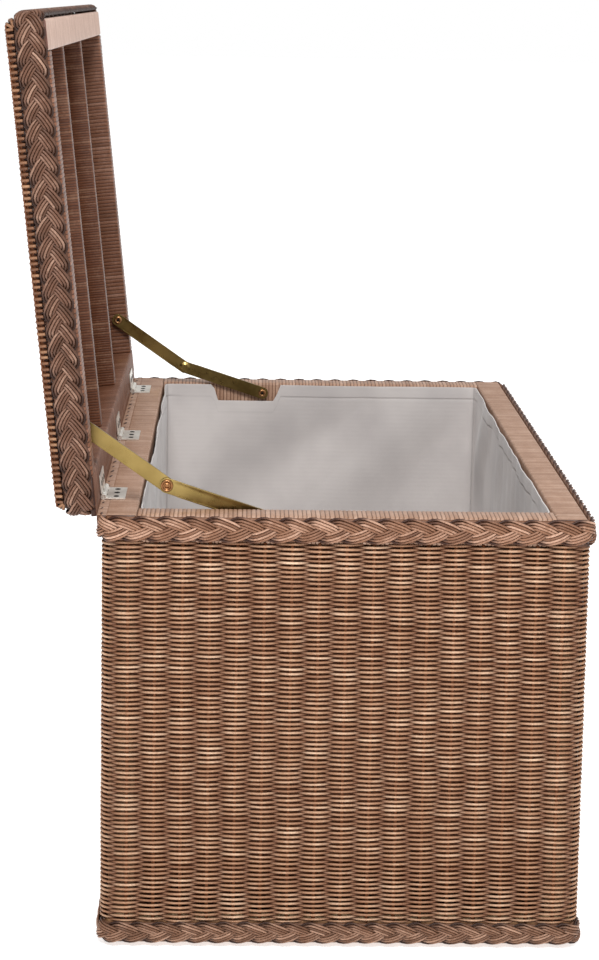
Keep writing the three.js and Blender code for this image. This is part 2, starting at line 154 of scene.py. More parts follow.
def cane(name, deep, dark, middle, pale, roughness=0.5, deep_from=0.1, deep_to=0.62):
    """Rattan cane, peeled, steamed and stained. Each strand has its own tone, fine fibres and
    specks break it up, and painted shade darkens it towards the deep colour where its crest
    attribute is low: where strands dive under each other and on their sides, while the
    crests keep their full colour."""
    material, tree, shader, place = new_material(name, Roughness=roughness, IOR=1.5,
                                                  Specular_IOR_Level=0.3)
    tone = add(tree, "ShaderNodeAttribute", {"attribute_name": "tone"}).outputs["Fac"]
    crest = add(tree, "ShaderNodeAttribute", {"attribute_name": "crest"}).outputs["Fac"]
    blotch = add(tree, "ShaderNodeTexNoise", {"Scale": per_metre(16), "Detail": 3.0},
                 Vector=place).outputs["Fac"]
    speck = add(tree, "ShaderNodeTexNoise", {"Scale": per_metre(2.2), "Detail": 2.0},
                Vector=place).outputs["Fac"]
    mix = add(tree, "ShaderNodeMath", {"operation": "MULTIPLY_ADD", 1: 0.7}, i0=blotch, i2=tone)
    mix = add(tree, "ShaderNodeMath", {"operation": "MULTIPLY_ADD", 1: 0.5}, i0=speck,
              i2=mix.outputs[0])
    spread = add(tree, "ShaderNodeMapRange", {"From Min": 0.55, "From Max": 1.65},
                 Value=mix.outputs[0])
    colour = add(tree, "ShaderNodeValToRGB", {"stops": [(0.0, dark), (0.5, middle), (1.0, pale)]},
                 Fac=spread.outputs[0]).outputs["Color"]
    # Painted shade: points lying back from the crests are mixed towards the deep colour.
    shade = add(tree, "ShaderNodeMapRange", {"From Min": deep_from, "From Max": deep_to},
                Value=crest)
    painted_shade_mix = add(tree, "ShaderNodeMix", {"data_type": "RGBA", 6: srgb(deep)},
                  i0=shade.outputs[0], i7=colour)
    tree.links.new(painted_shade_mix.outputs[2], shader.inputs["Base Color"])
    bump = add(tree, "ShaderNodeBump", {"Strength": 0.3, "Distance": 0.25 * MM}, Height=speck)
    tree.links.new(bump.outputs[0], shader.inputs["Normal"])
    return material


def plated(name, shadow, face, roughness, grain_mm=3.0, metal=1.0):
    """Plated steel: a metal whose colour clouds a little and whose shine is uneven from
    handling."""
    material, tree, shader, place = new_material(name, Metallic=metal)
    cloud = add(tree, "ShaderNodeTexNoise", {"Scale": per_metre(grain_mm * 4), "Detail": 3.0},
                Vector=place).outputs["Fac"]
    fine = add(tree, "ShaderNodeTexNoise", {"Scale": per_metre(grain_mm), "Detail": 2.0},
               Vector=place).outputs["Fac"]
    colour = add(tree, "ShaderNodeValToRGB", {"stops": [(0.3, shadow), (0.65, face)]}, Fac=cloud)
    tree.links.new(colour.outputs["Color"], shader.inputs["Base Color"])
    shine = add(tree, "ShaderNodeMapRange", {"To Min": roughness - 0.08,
                                             "To Max": roughness + 0.12}, Value=fine)
    tree.links.new(shine.outputs[0], shader.inputs["Roughness"])
    return material


def timber(name, dark, pale, grain_mm, along):
    """Sawn wood: long streaks of grain, stretched along one axis, with a dry matt surface."""
    material, tree, shader, place = new_material(name, Roughness=0.7, IOR=1.5)
    stretch = [1.0, 1.0, 1.0]
    stretch[along] = 0.06
    lie = add(tree, "ShaderNodeMapping", {"Scale": stretch}, Vector=place)
    grain = add(tree, "ShaderNodeTexNoise", {"Scale": per_metre(grain_mm), "Detail": 4.0},
                Vector=lie.outputs[0]).outputs["Fac"]
    colour = add(tree, "ShaderNodeValToRGB", {"stops": [(0.3, dark), (0.7, pale)]}, Fac=grain)
    tree.links.new(colour.outputs["Color"], shader.inputs["Base Color"])
    bump = add(tree, "ShaderNodeBump", {"Strength": 0.3, "Distance": 0.3 * MM}, Height=grain)
    tree.links.new(bump.outputs[0], shader.inputs["Normal"])
    return material


def cotton(name, crease_shade, shade, face, fine_mm=0.9):
    """Plain-woven cotton lining. Its threads, about 0.4 mm apart, are too fine to show, and a
    faint ribbing stands for them: a wave texture repeats every 2 pi / 20 of a unit, so the
    ridges come 2 pi times fine_mm, or 5.7 mm, apart up the walls. Broad soft blotches vary its
    white, and painted shade, read from the crest attribute, mixes it towards the crease shade
    colour along the seams, the hem and the fold hollows."""
    material, tree, shader, place = new_material(
        name, Roughness=0.85, IOR=1.45, Sheen_Weight=0.25, Sheen_Roughness=0.5)
    broad = add(tree, "ShaderNodeTexNoise", {"Scale": per_metre(90), "Detail": 3.0},
                Vector=place).outputs["Fac"]
    seam = add(tree, "ShaderNodeAttribute", {"attribute_name": "crest"}).outputs["Fac"]
    cloth = add(tree, "ShaderNodeValToRGB", {"stops": [(0.3, shade), (0.6, face)]}, Fac=broad)
    # Painted shade: a low crest value mixes the cloth towards the crease shade colour.
    crease_shading = add(tree, "ShaderNodeMix", {"data_type": "RGBA", 6: srgb(crease_shade)}, i0=seam,
               i7=cloth.outputs["Color"])
    tree.links.new(crease_shading.outputs[2], shader.inputs["Base Color"])
    warp, weft = (add(tree, "ShaderNodeTexWave", {"Scale": per_metre(fine_mm * 20),
                                                  "Distortion": 1.0, "bands_direction": way},
                      Vector=place) for way in ("DIAGONAL", "Z"))
    both = add(tree, "ShaderNodeMath", {"operation": "ADD"}, i0=warp.outputs["Fac"],
               i1=weft.outputs["Fac"])
    bump = add(tree, "ShaderNodeBump", {"Strength": 0.25, "Distance": 0.15 * MM},
               Height=both.outputs[0])
    tree.links.new(bump.outputs[0], shader.inputs["Normal"])
    return material


def moulded(name, dark, pale, roughness):
    """Moulded rubbery plastic with a faint mould grain."""
    material, tree, shader, place = new_material(name, Roughness=roughness, IOR=1.5)
    grain = add(tree, "ShaderNodeTexNoise", {"Scale": per_metre(1.5), "Detail": 2.0},
                Vector=place).outputs["Fac"]
    colour = add(tree, "ShaderNodeValToRGB", {"stops": [(0.3, dark), (0.7, pale)]}, Fac=grain)
    tree.links.new(colour.outputs["Color"], shader.inputs["Base Color"])
    bump = add(tree, "ShaderNodeBump", {"Strength": 0.2, "Distance": 0.1 * MM}, Height=grain)
    tree.links.new(bump.outputs[0], shader.inputs["Normal"])
    return material


# The wall weave: warm mid brown to tan, nearly black in the hollows, a painted shade.
WEAVE = cane("woven_rattan_core", "#4E2812", "#764C33", "#A67D5F", "#DFBEA0", deep_from=0.50,
             deep_to=0.98)
# The lid's weave is a darker copy of the same cane, a painted shade for the open lid.
LID_WEAVE = cane("lid_woven_rattan_painted_shade", "#341A0D", "#5E3B26", "#80583E", "#A67D5D",
                 deep_from=0.50, deep_to=0.98)
# Stakes and backings sit deep in the shade of the weave: a darker copy of the cane paints that
# shade.
STAKE = cane("stake_rattan_painted_shade", "#48220F", "#683819", "#7A4828", "#905A38", roughness=0.6)
# The rim's braid: finer core, redder and a little darker; painted shade in its hollows and on
# the sides of its strands leaves pale lines along each strand.
BRAID = cane("plaited_rattan_core", "#371A0C", "#5C3A27", "#855E47", "#C19B84", roughness=0.46,
             deep_from=0.36, deep_to=0.78)
# Plaited core about the foot, browner from the ground.
BASE_BRAID = cane("base_plaited_rattan_core", "#2C1408", "#492D1B", "#6E4C38", "#A8846E",
                  roughness=0.46, deep_from=0.36, deep_to=0.78)
# Plaited core about the lid, the darkest of the three, its hollows painted almost black with
# shade.
LID_BRAID = cane("lid_plaited_rattan_core", "#2B1408", "#462C1D", "#664636", "#9E7D6A",
                 roughness=0.46, deep_from=0.30, deep_to=0.72)
# Split cane bark, wrapped tight: smooth, pinkish tan, with fine dark lines of painted shade in
# the grooves between the turns.
WRAP = cane("wrapped_split_cane", "#54331F", "#8A664F", "#A98670", "#C9A994", roughness=0.42,
            deep_from=0.0, deep_to=0.7)
# The binding of the lid's front rail: a paler copy of the same cane, painted light for the lid's
# top edge.
PALE_WRAP = cane("lid_front_split_cane_painted_light", "#64443A", "#A08070", "#BFA191", "#D2B8AA",
                 roughness=0.42, deep_from=0.0, deep_to=0.7)
# The binding of the lid's other rails: a copy of the rim's cane a full shade darker, a painted
# shade for the inside of the lid.
LID_WRAP = cane("lid_split_cane_painted_shade", "#33180B", "#593724", "#774D37", "#9E7763",
                roughness=0.45, deep_from=0.0, deep_to=0.7)
# The binding of the lid's ribs, narrow turns of the darkest copy of the cane, a painted shade
# for the ribs inside the lid.
DARK_WRAP = cane("rib_split_cane_painted_shade", "#2C1307", "#4F2A17", "#673C25", "#906A52",
                 roughness=0.45, deep_from=0.0, deep_to=0.7)
# Off-white cotton, washed soft: no gloss. Its colours are greyer than the cloth, a painted
# shade for the inside of the chest, and darker along seams, hem and fold hollows, more painted
# shade.
COTTON = cotton("cotton_lining_painted_shade", "#827D7C", "#BFB9B7", "#D0CAC7")
# Nickel plate on pressed leaves: a pale, warm shine, dulled by handling.
NICKEL = plated("nickel_plated_steel", "#D0C9BF", "#F2EEE6", 0.34, 6.0, metal=0.75)
# Brass plate on pressed strip: olive gold in clouds, with a smooth shine.
BRASS = plated("brass_plated_steel", "#705C32", "#998350", 0.28, 9.0)
# Copper plate on turned rivets: redder and brighter than the arms that they join.
RIVET_METAL = plated("copper_plated_rivet_steel", "#8C5F3C", "#C29468", 0.30, 5.0)
# Blackened steel: nearly black, with a low broken shine.
DARK_STEEL = plated("blackened_screw_steel", "#1E1A18", "#3A332F", 0.45, 1.5)
# Peeled hardwood, its grain upright.
POLE = timber("pole_wood", "#6E4A30", "#9C7450", 5.0, 2)
# Sanded birch plywood, its grain along the trunk.
PLYWOOD = timber("birch_plywood", "#B08B62", "#D6B98E", 9.0, 0)
# Moulded grey plastic glides, matt.
GLIDE = moulded("grey_plastic_glide", "#5B5A5C", "#828184", 0.55)

# -------- meshes


def unit(vectors):
    """Vectors scaled to length one."""
    return vectors / np.maximum(np.linalg.norm(vectors, axis=-1, keepdims=True), 1e-12)


def signed_volume(points, quads):
    """The volume that quads close in: a sixth of the sum of each triangle's triple product."""
    a, b, c, d = (points[quads[:, i]] for i in range(4))
    total = np.einsum("ij,ij->i", a, np.cross(b, c)) + np.einsum("ij,ij->i", a, np.cross(c, d))
    return total.sum() / 6


def new_piece(name, rings, body, material, stands_for=(), tone=None, crest=None,
              closed=False, smooth=True):
    """Skins strands given as rings of points, an array (strands, samples, sides, 3): quads join
    each ring to the next, a flat cap closes each end unless the strand is a closed loop, and
    the quads are turned over if their volume comes out negative. The map lays each strand in
    its own strip: along it across, round it up."""
    strands, samples, sides = rings.shape[:3]
    points = rings.reshape(-1, 3)
    steps = samples if closed else samples - 1
    s, i, k = np.meshgrid(np.arange(strands), np.arange(steps), np.arange(sides), indexing="ij")
    s, i, k = s.ravel(), i.ravel(), k.ravel()
    here, ahead = (s * samples + i) * sides, (s * samples + (i + 1) % samples) * sides
    beside = (k + 1) % sides
    quads = np.stack([here + k, ahead + k, ahead + beside, here + beside], 1)
    along = np.stack([i, i + 1, i + 1, i], 1) / steps
    across = (s[:, None] + (np.stack([k, k, k + 1, k + 1], 1) / sides) * 0.94 + 0.03) / strands
    caps = np.zeros((0, sides), int)
    if not closed:
        starts = np.arange(strands)[:, None] * samples * sides
        first = starts + np.arange(sides)
        last = starts + (samples - 1) * sides + np.arange(sides)[::-1]
        caps = np.concatenate([first, last])
    if signed_volume(points, quads) < 0:
        quads, along, across = quads[:, ::-1], along[:, ::-1], across[:, ::-1]
        caps = caps[:, ::-1]
    loops = np.concatenate([quads.ravel(), caps.ravel()])
    begins = np.concatenate([np.arange(len(quads)) * 4,
                             len(quads) * 4 + np.arange(len(caps)) * sides])
    mesh = bpy.data.meshes.new(name)
    mesh.vertices.add(len(points))
    mesh.vertices.foreach_set("co", points.astype(np.float32).ravel())
    mesh.loops.add(len(loops))
    mesh.loops.foreach_set("vertex_index", loops.astype(np.int32))
    mesh.polygons.add(len(begins))
    mesh.polygons.foreach_set("loop_start", begins.astype(np.int32))
    mesh.update(calc_edges=True)
    mesh.validate()
    mesh.polygons.foreach_set("use_smooth", np.full(len(begins), smooth))
    flat_map = np.zeros((len(loops), 2), np.float32)
    flat_map[:quads.size, 0] = along.ravel()
    flat_map[:quads.size, 1] = across.ravel()
    mesh.uv_layers.new(name=BAKE_MAP).data.foreach_set("uv", flat_map.ravel())
    for label, values in (("tone", tone), ("crest", crest)):
        values = 0.5 if values is None else values
        spread = np.broadcast_to(np.asarray(values, np.float32), (strands, samples, sides))
        mesh.attributes.new(label, "FLOAT", "POINT").data.foreach_set(
            "value", np.ascontiguousarray(spread).ravel())
    mesh.materials.append(material)
    piece = bpy.data.objects.new(name, mesh)
    bpy.context.scene.collection.objects.link(piece)
    return settle(piece, body, stands_for)


def settle(piece, body, stands_for=()):
    """Puts a finished piece on its body and hides what it stands for."""
    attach(piece, body)
    if stands_for:
        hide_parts(*stands_for)
    return piece


def strand_rings(centres, outs, half_wide, half_thick, sides, closed=False):
    """Round or flat strands along centre lines, an array (strands, samples, 3). The ring of a
    sample is its centre, plus half_wide times the cosine of an angle along the side, plus
    half_thick times its sine along the outward direction made square to the strand."""
    if closed:
        tangent = np.roll(centres, -1, 1) - np.roll(centres, 1, 1)
    else:
        tangent = np.gradient(centres, axis=1)
    tangent = unit(tangent)
    side = unit(np.cross(tangent, outs))
    out = np.cross(side, tangent)
    angle = 2 * pi * (np.arange(sides) + 0.25) / sides
    wide = np.broadcast_to(half_wide, centres.shape[:2])[..., None, None]
    thick = np.broadcast_to(half_thick, centres.shape[:2])[..., None, None]
    return (centres[:, :, None] + wide * np.cos(angle)[:, None] * side[:, :, None]
            + thick * np.sin(angle)[:, None] * out[:, :, None])


def rounded_box(distance, half_x, half_y, radius):
    """Points and outward directions round a rounded rectangle, anticlockwise from above from
    the middle of its -X side. The corner arc's centre and the direction's angle are both
    straight-line functions of the distance travelled, between the ends of sides and arcs."""
    long, short, arc = half_x - radius, half_y - radius, pi * radius / 2
    lengths = [short, arc, 2 * long, arc, 2 * short, arc, 2 * long, arc, short]
    knots = np.concatenate([[0.0], np.cumsum(lengths)])
    distance = np.mod(distance, knots[-1])
    core_x = np.interp(distance, knots, long * np.array([-1, -1, -1, 1, 1, 1, 1, -1, -1, -1]))
    core_y = np.interp(distance, knots, short * np.array([0, -1, -1, -1, -1, 1, 1, 1, 1, 0]))
    turn = np.interp(distance, knots, pi / 2 * np.array([2, 2, 3, 3, 4, 4, 5, 5, 6, 6]))
    out = np.stack([np.cos(turn), np.sin(turn), np.zeros_like(turn)], -1)
    return np.stack([core_x, core_y, np.zeros_like(turn)], -1) + radius * out, out


def girth(half_x, half_y, radius):
    """The distance once round a rounded rectangle."""
    return 4 * (half_x + half_y) - 8 * radius + 2 * pi * radius


def ripple(seed, *places, count=6):
    """A smooth wander between about -1 and 1: the mean of a few sine waves with seeded phases
    and directions, read at places given in wavelengths."""
    random = np.random.default_rng(seed)
    total = 0.0
    for _ in range(count):
        pull = random.uniform(0.5, 1.5, len(places)) * random.choice([-1, 1], len(places))
        wave = sum(p * place for p, place in zip(pull, places))
        total = total + np.sin(2 * pi * (wave + random.random()))
    return total / count ** 0.5 / 1.2


def braid_core(name, half_x, half_y, radius, bottom, height, material, body,
               middle=BODY_MIDDLE, turn=None):
    """The strip behind a plait or a weave, which closes the gaps between strands: a flat band
    on a rounded rectangle round the trunk, set back. Behind a weave it is a dark sheet of
    painted shade standing for the shade between the strands, not a real part."""
    samples = 160
    distance = np.arange(samples) / samples * girth(half_x, half_y, radius)
    place, out = rounded_box(distance, half_x, half_y, radius)
    centres = (place + middle + (bottom + height / 2) * UP)[None]
    outs = out[None]
    if turn is not None:
        centres, outs = turn(centres), turn_only(turn, outs)
    rings = strand_rings(centres, outs, height / 2, 1.0 * MM, 8, closed=True)
    return new_piece(name, rings, body, material, tone=0.4, crest=0.72,
                     closed=True)


# -------- woven walls

PICK = 2.36 * MM  # from one row of weavers to the next
STAKES = 92  # once round the trunk
WAVE = 2.5 * MM  # how far a weaver swings in and out past a stake
STRAND_WIDE = 1.30 * MM
STRAND_THICK = 1.12 * MM
MEAN_INSET = WAVE + STRAND_THICK
WALL_RADIUS = 17 * MM - MEAN_INSET
MEAN_X = WALL_X - MEAN_INSET
MEAN_Y = WALL_Y - MEAN_INSET
WALL_GIRTH = girth(MEAN_X, MEAN_Y, WALL_RADIUS)
STAKE_PITCH = WALL_GIRTH / STAKES
WALL_BOTTOM, WALL_TOP = WALL_LOW[2] - 1.5 * MM, WALL_HIGH[2] + 2.5 * MM
ROWS = int((WALL_TOP - WALL_BOTTOM) // PICK)
random = np.random.default_rng(11)
ROW_TONE = random.normal(0.5, 0.10, ROWS)
ROW_GROWTH = random.normal(1.0, 0.05, ROWS)
ROW_PHASE = random.random(ROWS)


def stand_off(rings, centres, outs, stand):
    """How far each point of some rings stands off the middle surface: its own reach along the
    outward direction, plus its centre's stand."""
    return np.einsum("rnkj,rnj->rnk", rings - centres[:, :, None], outs) + stand[..., None]


def weave(name, first_stake, last_stake, per_stake, stands_for):
    """Weavers laid in level rows round the wall. A weaver's height is its row's plus a slow
    wander, and it stands off the wall's middle surface by a wave, one half of it for each
    stake, with the next row half a wave behind: over one stake, under the next."""
    steps = (last_stake - first_stake) * per_stake + 1
    stake = np.linspace(first_stake, last_stake, steps)[None, :]
    row = np.arange(ROWS)[:, None]
    height = WALL_BOTTOM + (row + 0.5) * (WALL_TOP - WALL_BOTTOM) / ROWS
    sway = 0.05 * ripple(3, stake / 9, height / 0.09)
    swing = np.cos(pi * (stake + sway + row))
    swing = np.sign(swing) * np.abs(swing) ** 0.8
    distance = stake * STAKE_PITCH
    place, out = rounded_box(distance, MEAN_X, MEAN_Y, WALL_RADIUS)
    wander = 0.22 * MM * ripple(5, stake / 2.2, row * 0.37) \
        + 0.5 * MM * ripple(8, stake / 14, height / 0.15)
    centres = place + BODY_MIDDLE + (WAVE * swing)[..., None] * out \
        + (height + wander)[..., None] * UP
    grow = np.broadcast_to(ROW_GROWTH[:, None], swing.shape)
    outs = np.broadcast_to(out, centres.shape)
    rings = strand_rings(centres, outs, STRAND_WIDE * grow, STRAND_THICK * grow, 5)
    # Painted shade: crest is how far a point stands out of the wall; the weave's material darkens
    # the low ones.
    crest = (stand_off(rings, centres, outs, WAVE * swing) + MEAN_INSET) / (2 * MEAN_INSET)
    tone = ROW_TONE[:, None] + 0.13 * ripple(17, stake / 6 + ROW_PHASE[:, None] * 7, row * 1.7)
    return new_piece(name, rings, CHEST_BODY, WEAVE, stands_for,
                     tone[..., None], crest)


def wall_stakes(name, first_stake, last_stake):
    """Upright stakes between the weavers: one thin pole at each stake's place."""
    stake = np.arange(first_stake, last_stake)
    place, out = rounded_box(stake * STAKE_PITCH, MEAN_X, MEAN_Y, WALL_RADIUS)
    heights = np.linspace(WALL_BOTTOM, WALL_TOP, 9)
    centres = (place + BODY_MIDDLE)[:, None] + heights[None, :, None] * UP
    outs = np.broadcast_to(out[:, None], centres.shape)
    rings = strand_rings(centres, outs, 2.0 * MM, 1.3 * MM, 6)
    return new_piece(name, rings, CHEST_BODY, STAKE, tone=0.4)


SHORT = (MEAN_Y - WALL_RADIUS) / STAKE_PITCH
CORNER = (pi * WALL_RADIUS / 4) / STAKE_PITCH
LONG = 2 * (MEAN_X - WALL_RADIUS) / STAKE_PITCH
CUT_1 = round(SHORT + CORNER)
CUT_2 = round(CUT_1 + CORNER * 2 + LONG)
CUT_3 = STAKES - CUT_2
CUT_4 = STAKES - CUT_1
MIDDLE_FRONT = (CUT_1 + CUT_2) // 2
MIDDLE_BACK = (CUT_3 + CUT_4) // 2
weave("weave_left", -CUT_1, CUT_1, 6, ["woven_wall_left"])
weave("weave_right", CUT_2, CUT_3, 6, ["woven_wall_right"])
weave("weave_front_left", CUT_1, MIDDLE_FRONT, 5, ["woven_wall_front"])
weave("weave_front_right", MIDDLE_FRONT, CUT_2, 5, ["woven_wall_front"])
weave("weave_back_right", CUT_3, MIDDLE_BACK, 5, ["woven_wall_back"])
weave("weave_back_left", MIDDLE_BACK, CUT_4, 5, ["woven_wall_back"])
wall_stakes("wall_stakes", 0, STAKES)
# A dark sheet of painted shade behind the wall's weave, not a real part.
braid_core("wall_shade_sheet", MEAN_X - 4.6 * MM, MEAN_Y - 4.6 * MM, 11 * MM, WALL_BOTTOM,
           WALL_TOP - WALL_BOTTOM, STAKE, CHEST_BODY)

# -------- plaited braids


def plait(name, half_x, half_y, radius, bottom, height, stroke, material, body, stands_for,
          middle, turn, puff, strand, seed, dome):
    """A three-ply plait laid flat round the trunk. A ply's height is a sine of the distance,
    drawn towards a zigzag by an arcsine and delayed on its way in, and its stand-off a sine of
    twice that angle, so each ply passes over and under the other two. Four strands lie side by
    side across each ply, set off square to its own direction, and the plait's edges fall back
    as a dome: by the fourth power of the height."""
    around = girth(half_x, half_y, radius)
    periods = round(around / (3 * stroke))
    samples = periods * 18
    period = around / periods
    distance = np.arange(samples) / samples * around
    random = np.random.default_rng(seed)
    plies, across = np.meshgrid(np.arange(3), np.arange(4) - 1.5, indexing="ij")
    plies, across = plies.ravel()[:, None], across.ravel()[:, None]
    swing = height / 2 - 4 * strand
    even = 2 * pi * (distance[None, :] / period + plies / 3)
    lag, sharp = 0.16, 0.55  # the delay, in radians, and how near to a zigzag, up to 1
    angle = even + lag * (1 - np.cos(2 * even))
    scale = swing / np.arcsin(sharp)
    slope = scale * sharp * np.cos(angle) / np.sqrt(1 - (sharp * np.sin(angle)) ** 2) \
        * (1 + 2 * lag * np.sin(2 * even)) * 2 * pi / period
    square = 1 / np.sqrt(1 + slope ** 2)
    spacing = 2 * strand * (1 + 0.03 * ripple(seed + 2, distance[None, :] / 0.11))
    moved = distance[None, :] - across * spacing * slope * square
    lift = scale * np.arcsin(sharp * np.sin(angle)) + across * spacing * square
    lift = lift + 0.25 * MM * ripple(seed + 4, distance[None, :] / 0.05, plies * 0.4)
    over = -np.sin(2 * angle)
    stand = puff * over + 0.5 * MM * (1.25 - across ** 2 * 0.5) \
        - dome * (lift / (height / 2)) ** 4
    place, out = rounded_box(moved, half_x, half_y, radius)
    centres = place + middle + stand[..., None] * out \
        + (bottom + height / 2 + lift)[..., None] * UP
    outs = out
    if turn is not None:
        centres, outs = turn(centres), turn_only(turn, out)
    rings = strand_rings(centres, outs, 0.92 * strand, 0.92 * strand, 6, closed=True)
    # Painted shade: crest is how far a point stands out of the plait; its material darkens the
    # hollows and the strands' sides.
    depth = stand_off(rings, centres, outs, stand)
    crest = np.clip(0.5 + depth / (2 * (puff + strand)), 0, 1)
    tone = 0.5 + random.normal(0, 0.16, (12, 1, 1)) \
        + 0.2 * ripple(seed + 9, distance[None, :] / 0.16, plies * 1.7 + across)[..., None]
    return new_piece(name, rings, body, material, stands_for, tone, crest,
                     closed=True)


def braid_on(name, node, box_of, lower, higher, wider, stroke, material, body, middle, turn,
             seed, puff, strand, dome):
    """A plait and its core in the space that a CAD braid ring fills, its lower and upper edges
    moved by lower and higher and its face by wider."""
    low, high = box_of(node)
    bottom, height = low[2] + lower, high[2] - low[2] + higher - lower
    set_back = puff + strand + 0.4 * MM - wider
    half_x = high[0] - set_back
    half_y = (high[1] - low[1]) / 2 - set_back
    radius = 14 * MM
    plait(name, half_x, half_y, radius, bottom, height, stroke, material, body, [node],
          middle, turn, puff, strand, seed, dome)
    back = puff + 0.6 * strand
    braid_core(name + "_core", half_x - back, half_y - back, radius - back, bottom + 1.5 * MM,
               height - 3 * MM, material, body, middle, turn)


LID_LOW, LID_HIGH = lid_corners("lid_panel")
LID_MIDDLE = np.array([0.0, (LID_LOW[1] + LID_HIGH[1]) / 2, 0.0])
braid_on("rim_plait", "rim_braid", corners, lower=1.8 * MM, higher=2.2 * MM, wider=0,
         stroke=24 * MM, material=BRAID, body=CHEST_BODY, middle=BODY_MIDDLE, turn=None, seed=21,
         puff=1.9 * MM, strand=1.40 * MM, dome=2.5 * MM)
braid_on("base_plait", "base_braid", corners, lower=0.2 * MM, higher=0.8 * MM, wider=2.5 * MM,
         stroke=21.5 * MM, material=BASE_BRAID, body=CHEST_BODY, middle=BODY_MIDDLE, turn=None,
         seed=31, puff=1.6 * MM, strand=1.22 * MM, dome=2.5 * MM)
braid_on("lid_plait", "lid_braid", lid_corners, lower=-4.8 * MM, higher=0.8 * MM, wider=0,
         stroke=19 * MM, material=LID_BRAID, body=LID_BODY, middle=LID_MIDDLE, turn=raise_lid,
         seed=41, puff=1.9 * MM, strand=1.45 * MM, dome=3.5 * MM)

# -------- the lid's woven skin


LID_SKIN = LID_HIGH[2] - MEAN_INSET + 0.4 * MM  # the height of the skin's middle surface


def lid_weave(name, first, last, stands_for):
    """Weavers run along the lid and roll down over its ends; the rows nearest the long edges
    roll over those. The outline across the lid is a half-round edge, a flat and a half-round
    edge; a row turns down at its ends about the direction square to that outline."""
    per_stake = 5
    pitch = 27.3 * MM  # from stake to stake
    pick = 2.9 * MM  # from row to row
    edge = 8 * MM
    half_x = LID_HIGH[0] - MEAN_INSET
    half_y = (LID_HIGH[1] - LID_LOW[1]) / 2 - MEAN_INSET
    drop = LID_SKIN - LID_LOW[2] - edge
    flat = 2 * (half_y - edge)
    arc = pi * edge / 2
    across = 2 * drop + 2 * arc + flat
    rows = int(across // pick)
    row = np.arange(rows)[:, None]
    travel = (row + 0.5) / rows * across
    knots = np.cumsum([0.0, drop, arc, flat, arc, drop])
    tilt = np.interp(travel, knots, [pi, pi, pi / 2, pi / 2, 0, 0])
    core_y = np.interp(travel, knots, (half_y - edge) * np.array([-1, -1, -1, 1, 1, 1]))
    core_z = np.interp(travel, knots, [-drop, 0, 0, 0, 0, -drop])
    ends = arc + drop
    length = 2 * (half_x - edge) + 2 * ends
    stakes = round(length / pitch)
    steps = (last - first) * stakes * per_stake // 2 + 1
    share = np.linspace(first / 2, last / 2, steps)[None, :]
    along = share * length
    knots = np.cumsum([0.0, drop, arc, 2 * (half_x - edge), arc, drop])
    bend = np.interp(along, knots, [pi, pi, pi / 2, pi / 2, 0, 0])
    core_x = np.interp(along, knots, (half_x - edge) * np.array([-1, -1, -1, 1, 1, 1]))
    tail = np.interp(along, knots, [1, 0, 0, 0, 0, 1]) * drop * np.sin(tilt)
    out_x, out_n = np.cos(bend) + 0 * tilt, np.sin(bend) + 0 * tilt
    normal = np.stack([0 * tilt, np.cos(tilt), np.sin(tilt)], -1)
    out = out_x[..., None] * np.array([1.0, 0, 0]) + out_n[..., None] * normal
    core = np.stack([core_x + 0 * tilt, core_y + 0 * along, core_z + 0 * along], -1) \
        - tail[..., None] * normal
    stake = share * stakes
    swing = np.cos(pi * (stake + 0.05 * ripple(53, stake / 9, row / 30) + row))
    swing = np.sign(swing) * np.abs(swing) ** 0.8
    centre = core + (edge + WAVE * swing)[..., None] * out + LID_MIDDLE + LID_SKIN * UP \
        - edge * UP
    wander = 0.25 * MM * ripple(55, stake / 2.2, row * 0.37) * np.sin(tilt)
    centre[..., 1] += wander
    random = np.random.default_rng(57)
    row_tone = random.normal(0.5, 0.2, rows)[:, None]
    centres, outs = raise_lid(centre), turn_only(raise_lid, out)
    rings = strand_rings(centres, outs, 1.5 * MM, STRAND_THICK, 5)
    # Painted shade: crest is how far a point stands out of the lid's weave; its material darkens
    # the low ones.
    crest = (stand_off(rings, centres, outs, WAVE * swing) + MEAN_INSET) / (2 * MEAN_INSET)
    tone = row_tone + 0.22 * ripple(59, stake / 11, row * 1.7)
    return new_piece(name, rings, LID_BODY, LID_WEAVE, stands_for,
                     tone[..., None], crest)


def lid_stakes():
    """Stakes across the lid in the weave's middle plane, each a flat pole from front to back."""
    half_x, half_y = LID_HIGH[0] - 8 * MM, (LID_HIGH[1] - LID_LOW[1]) / 2 - 8 * MM
    across = np.linspace(-half_x, half_x, 29)[:, None]
    deep = np.linspace(-half_y, half_y, 7)[None, :]
    flat = LID_SKIN + 0 * across * deep
    centres = raise_lid(np.stack([across + 0 * deep, deep + LID_MIDDLE[1] + 0 * across, flat], -1))
    outs = np.broadcast_to(turn_only(raise_lid, UP), centres.shape)
    rings = strand_rings(centres, outs, 2.2 * MM, 1.2 * MM, 6)
    return new_piece("lid_stakes", rings, LID_BODY, STAKE, tone=0.4)


def lid_shade_sheet():
    """The middle of the lid's weave, which closes the gaps between strands: a thin flat sheet,
    one ring for each place along it. It is a dark sheet of painted shade standing for the
    shade between the strands, not a real part."""
    half_x, half_y = LID_HIGH[0] - 7 * MM, (LID_HIGH[1] - LID_LOW[1]) / 2 - 7 * MM
    along = np.linspace(-half_x, half_x, 9)
    centres = np.stack([along, 0 * along + LID_MIDDLE[1], 0 * along + LID_SKIN], -1)[None]
    side = half_y * np.array([-1.0, -1.0, 1.0, 1.0])
    thick = 0.35 * MM * np.array([-1.0, 1.0, 1.0, -1.0])
    rings = centres[:, :, None] + side[:, None] * np.array([0, 1.0, 0]) + thick[:, None] * UP
    return new_piece("lid_shade_sheet", raise_lid(rings), LID_BODY, STAKE, tone=0.4,
                     smooth=False)


